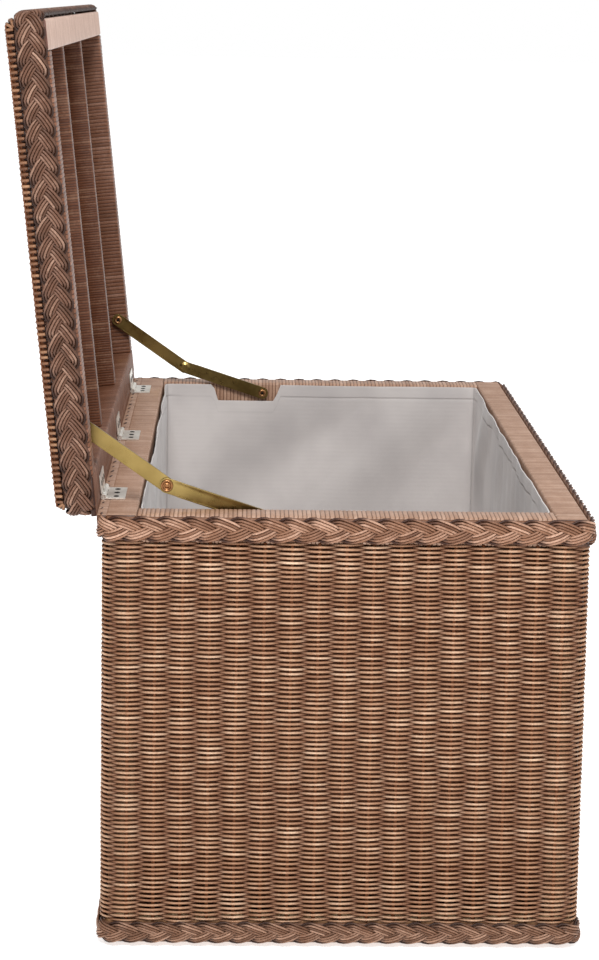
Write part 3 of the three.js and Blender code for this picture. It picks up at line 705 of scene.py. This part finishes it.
lid_weave("lid_weave_left", 0, 1, ["lid_panel"])
lid_weave("lid_weave_right", 1, 2, ["lid_panel"])
lid_stakes()
lid_shade_sheet()
# A dark band of painted shade behind the lid's edge, not a real part.
braid_core("lid_edge_shade_sheet", LID_HIGH[0] - 7.6 * MM, (LID_HIGH[1] - LID_LOW[1]) / 2 - 7.6 * MM,
           8 * MM, LID_LOW[2] + 0.3 * MM, 6.5 * MM, STAKE, LID_BODY, LID_MIDDLE, raise_lid)

# -------- wrapped rails


def wrapped(name, low, high, along, body, material, stands_for, turn=None, pitch=4.6 * MM,
            radius=2.6 * MM, dip=0.5 * MM, seed=1):
    """A wooden rail bound with split cane. Its section is a rounded rectangle, drawn in by a
    dip at every turn of the binding and full at the middle of each turn; the turns are
    slightly uneven in width."""
    length = high[along] - low[along]
    turns = max(2, round(length / pitch))
    random = np.random.default_rng(seed)
    edges = np.concatenate([[0.0], np.cumsum(random.uniform(0.85, 1.15, turns))])
    edges *= length / edges[-1]
    shares = np.array([0.0, 0.18, 0.5, 0.82])
    depths = np.array([1.0, 0.25, 0.0, 0.25])
    place = np.append((edges[:-1, None] + np.diff(edges)[:, None] * shares).ravel(), length)
    inset = np.append(np.tile(depths, turns), 1.0) * dip
    # Painted shade: crest is 0 at the edges of each turn, where the material darkens the groove
    # between turns.
    crest = np.append(np.tile([0.0, 0.7, 1.0, 0.7], turns), 0.0)
    tone = np.append(np.repeat(random.normal(0.5, 0.12, turns), 4), 0.5)
    others = [axis for axis in (0, 1, 2) if axis != along]
    half = [(high[axis] - low[axis]) / 2 for axis in others]
    middle = [(high[axis] + low[axis]) / 2 for axis in others]
    quarter = np.array([0.05, 0.37, 0.68, 0.95]) * pi / 2
    angle = np.concatenate([corner * pi / 2 + quarter for corner in range(4)])
    sign_a = np.repeat([1, -1, -1, 1], 4)
    sign_b = np.repeat([1, 1, -1, -1], 4)
    rings = np.zeros((1, len(place), 16, 3))
    rings[0, :, :, along] = low[along] + place[:, None]
    reach = radius - inset[:, None]
    rings[0, :, :, others[0]] = middle[0] + sign_a * (half[0] - radius) + reach * np.cos(angle)
    rings[0, :, :, others[1]] = middle[1] + sign_b * (half[1] - radius) + reach * np.sin(angle)
    if turn is not None:
        rings = turn(rings)
    return new_piece(name, rings, body, material, stands_for,
                     tone[None, :, None], crest[None, :, None])


for count, side in enumerate(("front", "back", "left", "right")):
    along = 0 if side in ("front", "back") else 1
    low, high = corners("rim_rail_" + side)
    wrapped("wrapped_rim_" + side, low, high, along, CHEST_BODY, WRAP, ["rim_rail_" + side],
            seed=60 + count)
    low, high = lid_corners("lid_rail_" + side)
    wrapped("wrapped_lid_rail_" + side, low, high, along, LID_BODY,
            PALE_WRAP if side == "front" else LID_WRAP, ["lid_rail_" + side], raise_lid,
            seed=70 + count)
# A bound edge cane lies along each of the two rails that meet at the hinges, under the knuckles.
low, high = corners("rim_rail_back")
wrapped("hinge_edge_chest", np.array([low[0], high[1] - 1 * MM, high[2] - 6 * MM]),
        np.array([high[0], AXIS_Y + 2.8 * MM, high[2] - 0.3 * MM]), 0, CHEST_BODY, WRAP, (),
        radius=0.9 * MM, dip=0.3 * MM, seed=76)
low, high = lid_corners("lid_rail_back")
wrapped("hinge_edge_lid", np.array([low[0], high[1] - 1 * MM, low[2] + 0.5 * MM]),
        np.array([high[0], 4.2 * MM, low[2] + 6 * MM]), 0, LID_BODY, LID_WRAP, (), raise_lid,
        radius=0.9 * MM, dip=0.3 * MM, seed=77)
for number in (1, 2):
    low, high = lid_corners(f"lid_rib_{number}")
    wrapped(f"wrapped_rib_{number}", low, high, 1, LID_BODY, DARK_WRAP, [f"lid_rib_{number}"],
            raise_lid, pitch=3.0 * MM, radius=3.0 * MM, dip=0.4 * MM, seed=80 + number)

# -------- cotton liner

LINER_LOW, LINER_HIGH = corners("liner")
LINER_X = LINER_HIGH[0]
LINER_Y = (LINER_HIGH[1] - LINER_LOW[1]) / 2
LINER_RADIUS = 10 * MM
LINER_RISE = 3 * MM  # above the CAD liner
NOTCH_MIDDLE = 99 * MM  # behind the trunk's middle
NOTCH_HALF = 41 * MM
NOTCH_DEEP = 21.5 * MM
CLOTH = 1.2 * MM
FLOOR_GAP = 1.5 * MM  # from the floor sheet's edge to the lining's outline


def cloth_rings(outer, inward, thickness):
    """A closed cloth band from its outer face, an array (round, up, 3): each place round the
    band is one ring that goes up the outer face and down the inner face."""
    inner = outer + inward * thickness
    return np.concatenate([outer, inner[:, ::-1]], 1)[None]


def corner_places():
    """The distances of the four corners' middles along the lining."""
    short, long = LINER_Y - LINER_RADIUS, 2 * (LINER_X - LINER_RADIUS)
    arc = pi * LINER_RADIUS / 2
    first = short + arc / 2
    return [first, first + arc + long, first + 2 * arc + long + 2 * short,
            first + 3 * arc + 2 * long + 2 * short]


def liner_wall():
    """The lining's side wall: a rounded rectangle carried up, its top cut down at two notches
    for the stays. It stands in from its outline by the sum of upright wrinkles, soft diagonal
    folds, a bow and a flare of the top edge, the seams' pulls and the hem's groove, and is all
    but flat where the folded stays sweep past. The fold hollows, the seams and the hem also
    darken the cloth's colour, a painted shade."""
    around = girth(LINER_X, LINER_Y, LINER_RADIUS)
    places = corner_places()
    near = np.linspace(-12 * MM, 12 * MM, 25)
    distance = np.unique(np.round(np.concatenate(
        [np.arange(460) / 460 * around] + [place + near for place in places]), 5))
    distance = distance[np.concatenate([[True], np.diff(distance) > 0.4 * MM])][:, None]
    place, out = rounded_box(distance[:, 0], LINER_X, LINER_Y, LINER_RADIUS)
    y = place[:, 1][:, None]
    on_end = np.abs(out[:, 0])[:, None] > 0.9
    gap = np.abs(y - NOTCH_MIDDLE)
    fall = np.clip((NOTCH_HALF + 4 * MM - gap) / (8 * MM), 0, 1)
    notch = np.where(on_end, fall * fall * (3 - 2 * fall), 0) * NOTCH_DEEP
    tall = LINER_HIGH[2] - LINER_LOW[2] + LINER_RISE - 2 * MM
    below = np.concatenate([[0, 1, 2.5, 5, 8, 11, 13.5, 14.8, 15.6, 16.4, 17.2, 18.5, 21, 25, 30],
                            np.linspace(36, tall / MM, 44)])[::-1][None, :] * MM
    z = LINER_HIGH[2] + LINER_RISE - notch - below * (1 - notch / tall)
    corner = np.minimum.reduce([np.abs(distance - c) for c in places])
    free = np.clip(corner / (60 * MM), 0, 1)
    clear = np.where(on_end, np.clip((gap - 55 * MM) / (40 * MM), 0, 1), 1.0)
    bow = 1.8 * MM * np.exp(-below / (30 * MM)) * np.clip(corner / (220 * MM), 0, 1) * clear \
        * (1 + 0.8 * ripple(95, distance / 0.16))
    wrinkle = 1.3 * MM * ripple(91, distance / 0.055, z / 0.9) * np.exp(-below / (160 * MM)) \
        * (1 - 0.8 * np.exp(-below / (22 * MM)))
    fold = ripple(93, distance / 0.24 + z / 0.26, z / 0.5)
    folds = 4.5 * MM * fold * (1 - 0.9 * np.exp(-below / (30 * MM)))
    swept = np.exp(-((y - 115 * MM) / (75 * MM)) ** 4) * np.exp(-(below / (190 * MM)) ** 4)
    quiet = np.where(on_end, 1 - 0.92 * swept, 1.0)
    seam = np.exp(-(corner / (1.4 * MM)) ** 2)
    hem = np.exp(-((below - 16 * MM) / (1.0 * MM)) ** 2)
    fat_hem = 0.4 * MM * (below < 15 * MM)
    flare = 1.1 * MM * np.exp(-below / (25 * MM))
    inward = quiet * (1.4 * MM + bow + (wrinkle + folds) * free) - flare - 0.5 * MM * hem \
        - 0.5 * MM * seam + fat_hem
    outer = place[:, None] + BODY_MIDDLE - np.maximum(inward, 0.2 * MM)[..., None] \
        * out[:, None] + z[..., None] * UP
    rings = cloth_rings(outer, -out[:, None], CLOTH)
    # Painted shade: the fold hollows away from the corners, the corner seams and the hem line
    # darken the cloth's colour.
    hollow = 0.5 + 0.5 * fold
    crease_shading = 1 - np.clip(0.45 * seam + 0.12 * hem + 0.30 * hollow * free, 0, 1) + 0 * z
    shade = np.concatenate([crease_shading, crease_shading[:, ::-1]], 1)[None]
    return new_piece("liner_wall", rings, CHEST_BODY, COTTON, ["liner"],
                     crest=shade, closed=True), around, tall


def liner_floor():
    """The lining's floor: a flat sheet with low soft creases, closed by its own thickness. Each
    ring goes along the under face and back along the top one."""
    across = np.linspace(-LINER_X + FLOOR_GAP, LINER_X - FLOOR_GAP, 90)[:, None]
    deep = np.linspace(-LINER_Y + FLOOR_GAP, LINER_Y - FLOOR_GAP, 60)[None, :]
    edge = np.minimum((LINER_X - np.abs(across)) / 0.04, (LINER_Y - np.abs(deep)) / 0.04)
    z = LINER_LOW[2] + 1.2 * MM + 1.6 * MM * (1 + ripple(97, across / 0.25, deep / 0.2)) / 2 \
        * np.clip(edge, 0, 1)
    under = np.stack([across + 0 * deep, deep + 0 * across + CENTRE_Y, z], -1)
    rings = cloth_rings(under, UP, CLOTH)
    return new_piece("liner_floor", rings, CHEST_BODY, COTTON, ["liner"], crest=1.0)


LINER_WALL, LINER_ROUND, LINER_TALL = liner_wall()
LINER_FLOOR = liner_floor()

# -------- hinges and stays


SHARP = radians(35)


def eased(label, width, material, body):
    """A pressed metal part with its sharp edges eased: the CAD part's own corners merged, its
    flat faces rejoined, and a narrow bevel along every edge sharper than 35 degrees."""
    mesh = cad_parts[label].data.copy()
    work = bmesh.new()
    work.from_mesh(mesh)
    bmesh.ops.remove_doubles(work, verts=work.verts, dist=0.01 * MM)
    bmesh.ops.dissolve_limit(work, angle_limit=radians(1), verts=work.verts, edges=work.edges)
    work.to_mesh(mesh)
    work.free()
    mesh.polygons.foreach_set("use_smooth", np.full(len(mesh.polygons), True))
    mesh.set_sharp_from_angle(angle=SHARP)
    mesh.materials.clear()
    mesh.materials.append(material)
    piece = bpy.data.objects.new("eased_" + label, mesh)
    bpy.context.scene.collection.objects.link(piece)
    bevel = piece.modifiers.new("eased_edges", "BEVEL")
    bevel.width, bevel.segments, bevel.limit_method = width, 2, "ANGLE"
    bevel.angle_limit, bevel.harden_normals = SHARP, True
    return settle(piece, body, [label])


def turned_part(name, centre, axis, profile, sides, body, material, stands_for=()):
    """A part turned on a lathe: a profile of (radius, height) points carried round an axis
    through centre, each point one ring of sides."""
    axis = unit(np.array(axis, float))
    across = unit(np.cross(axis, np.array([0.1, 0.3, 0.95])))
    other = np.cross(axis, across)
    angle = 2 * pi * np.arange(sides) / sides
    radius, height = np.array(profile, float).T
    ring = np.cos(angle)[:, None] * across + np.sin(angle)[:, None] * other
    rings = np.asarray(centre, float) + height[:, None, None] * axis + radius[:, None, None] * ring
    return new_piece(name, rings[None], body, material, stands_for)


LEAF_THICK = 1.2 * MM
SCREW_PITCH = 16 * MM
KNUCKLE = 3.2 * MM  # from the hinge's axis to the flat of the leaf
# A pan head with a sunk middle, as (radius, height) points.
SCREW_HEAD = np.array([(0.05, -1.0), (3.0, -1.0), (3.1, 0.4), (2.9, 0.9), (2.1, 1.2), (0.9, 1.3),
                       (0.8, 0.6), (0.05, 0.6)]) * MM
for number in (1, 2, 3):
    for leaf, body in (("chest_leaf", CHEST_BODY), ("lid_leaf", LID_BODY)):
        label = f"hinge_{number}_{leaf}"
        eased(label, 0.25 * MM, NICKEL, body)
        low, high = (corners if body == CHEST_BODY else lid_corners)(label)
        axis_edge = AXIS_Y if body == CHEST_BODY else 0.0
        hole_y = (low[1] + axis_edge - KNUCKLE) / 2
        plate_z = low[2] + LEAF_THICK if body == CHEST_BODY else high[2] - LEAF_THICK
        for screw in (-1, 0, 1):
            centre = np.array([(low[0] + high[0]) / 2 + screw * SCREW_PITCH, hole_y, plate_z])
            lie = UP
            if body == LID_BODY:
                centre, lie = raise_lid(centre), turn_only(raise_lid, -UP)
            turned_part(f"hinge_{number}_{leaf}_screw_{screw + 2}", centre, lie, SCREW_HEAD, 12,
                        body, DARK_STEEL)

# A rolled rivet: a round-topped ring about a sunk centre with its own small boss.
RIVET_RING = np.array([(0.05, -1.5), (5.6, -1.5), (6.2, -0.9), (6.3, 0.0), (5.9, 0.8), (5.2, 1.1),
                       (4.4, 0.8), (4.0, 0.1), (3.7, -0.5), (2.4, -0.6), (2.2, -0.1), (1.7, 0.2),
                       (0.05, 0.3)]) * MM
# A hollow pivot rivet: a rounded collar about a hole, with the end of its dark pin inside.
COLLAR = np.array([(0.05, -0.2), (4.8, -0.2), (5.1, 0.3), (5.0, 1.5), (4.3, 2.0), (2.7, 2.0),
                   (2.1, 1.7), (1.9, 0.2), (0.05, 0.1)]) * MM
COLLAR_HEIGHT = 2.0 * MM
PIVOT_PIN = np.array([(0.05, 0.0), (1.8, 0.0), (1.8, 0.7), (1.2, 1.0), (0.05, 1.0)]) * MM
for side, outwards in (("left", -1), ("right", 1)):
    for end, body in (("lid", LID_BODY), ("rim", CHEST_BODY)):
        label = f"stay_{side}_{end}_screw"
        low, high = corners(label)
        seat = (low + high) / 2
        seat[0] = (high if outwards < 0 else low)[0] + outwards * COLLAR_HEIGHT
        turned_part(f"stay_{side}_{end}_collar", seat, (-outwards, 0, 0), COLLAR, 24, body,
                    RIVET_METAL, [label])
        turned_part(f"stay_{side}_{end}_pin", seat, (-outwards, 0, 0), PIVOT_PIN, 16, body,
                    DARK_STEEL)
    for arm in ("upper_arm", "lower_arm"):
        eased(f"stay_{side}_{arm}", 0.45 * MM, BRASS, f"{side}_{arm}")
    arm_low, arm_high = corners(f"stay_{side}_lower_arm")
    rivet_low, rivet_high = corners(f"stay_{side}_elbow_rivet")
    face_x = (arm_low if outwards < 0 else arm_high)[0]
    middle = (rivet_low + rivet_high) / 2
    turned_part(f"stay_{side}_rolled_rivet", (face_x, middle[1], middle[2]), (outwards, 0, 0),
                RIVET_RING, 24, f"{side}_upper_arm", RIVET_METAL)

# The CAD parts that stay in sight, by the start of their names.
FINISHES = [
    ("hinge_", NICKEL), ("stay_", BRASS), ("foot_", GLIDE), ("floor_panel", PLYWOOD),
    ("corner_post_", POLE), ("sill_rail_", POLE),
]
for label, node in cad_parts.items():
    for start, material in FINISHES:
        if label.startswith(start):
            node.data.materials.clear()
            node.data.materials.append(material)

# -------- camera, floor and light

YAW, PITCH, ROLL = radians(1.624), radians(8.134), radians(0.986)
CAMERA_PLACE = (-2.5187, 0.0661, 0.9630)
FOCAL_LENGTH, SENSOR_WIDTH, SHIFT_UP = 82.50, 36.0, -0.18
ahead = np.array([cos(YAW) * cos(PITCH), -sin(YAW) * cos(PITCH), -sin(PITCH)])
right = np.array([-sin(YAW), -cos(YAW), 0.0])
above = np.cross(right, ahead)
rolled_right = cos(ROLL) * right + sin(ROLL) * above
rolled_above = -sin(ROLL) * right + cos(ROLL) * above
camera_data = bpy.data.cameras.new("camera")
camera_data.lens, camera_data.sensor_width = FOCAL_LENGTH, SENSOR_WIDTH
camera_data.shift_y = SHIFT_UP
camera_data.clip_end = 100.0
camera = bpy.data.objects.new("camera", camera_data)
turned = Matrix(np.stack([rolled_right, rolled_above, -ahead], 1).tolist()).to_4x4()
turned.translation = CAMERA_PLACE
camera.matrix_world = turned
bpy.context.scene.collection.objects.link(camera)
bpy.context.scene.camera = camera

WHITE = (1.0, 1.0, 1.0, 1.0)
# A pale studio floor of smooth painted board, lit a little from within like a light table.
FLOOR_PAINT, tree, shader, place = new_material("pale_painted_floor", Roughness=0.9,
                                                Emission_Color=WHITE, Emission_Strength=0.62)
mottle = add(tree, "ShaderNodeTexNoise", {"Scale": 1.5}, Vector=place).outputs["Fac"]
paint = add(tree, "ShaderNodeValToRGB", {"stops": [(0.3, "#F6F6F6"), (0.7, "#F8F8F8")]},
            Fac=mottle)
tree.links.new(paint.outputs["Color"], shader.inputs["Base Color"])
floor_mesh = bpy.data.meshes.new("studio_floor")
FLOOR_REACH = 30.0
floor_mesh.from_pydata([(x * FLOOR_REACH, y * FLOOR_REACH, 0)
                        for x, y in ((-1, -1), (1, -1), (1, 1), (-1, 1))], [], [(0, 1, 2, 3)])
floor_mesh.materials.append(FLOOR_PAINT)
studio_floor = bpy.data.objects.new("studio_floor", floor_mesh)
bpy.context.scene.collection.objects.link(studio_floor)

world = bpy.data.worlds.new("soft_white_studio")
world.use_nodes = True
background = world.node_tree.nodes["Background"]
background.inputs["Color"].default_value = WHITE
seen = add(world.node_tree, "ShaderNodeLightPath").outputs["Is Camera Ray"]
glow = add(world.node_tree, "ShaderNodeMapRange", {"To Min": 0.66, "To Max": 1.0}, Value=seen)
world.node_tree.links.new(glow.outputs[0], background.inputs["Strength"])
bpy.context.scene.world = world


def softbox(name, place, target, size, power):
    """A square area light at place that faces target."""
    data = bpy.data.lights.new(name, "AREA")
    data.shape, data.size, data.energy = "SQUARE", size, power
    light = bpy.data.objects.new(name, data)
    forward = unit(np.array(target, float) - np.array(place, float))
    right = unit(np.cross(forward, UP))
    turned = Matrix(np.stack([right, np.cross(right, forward), -forward], 1).tolist()).to_4x4()
    turned.translation = place
    light.matrix_world = turned
    bpy.context.scene.collection.objects.link(light)


softbox("key_light", (-2.7, 0.1, 3.1), (0.0, 0.0, 0.3), 1.3, 112)
softbox("fill_light", (1.5, -2.6, 2.2), (0.0, 0.0, 0.4), 2.0, 16)
bpy.context.scene.view_settings.view_transform = "Standard"
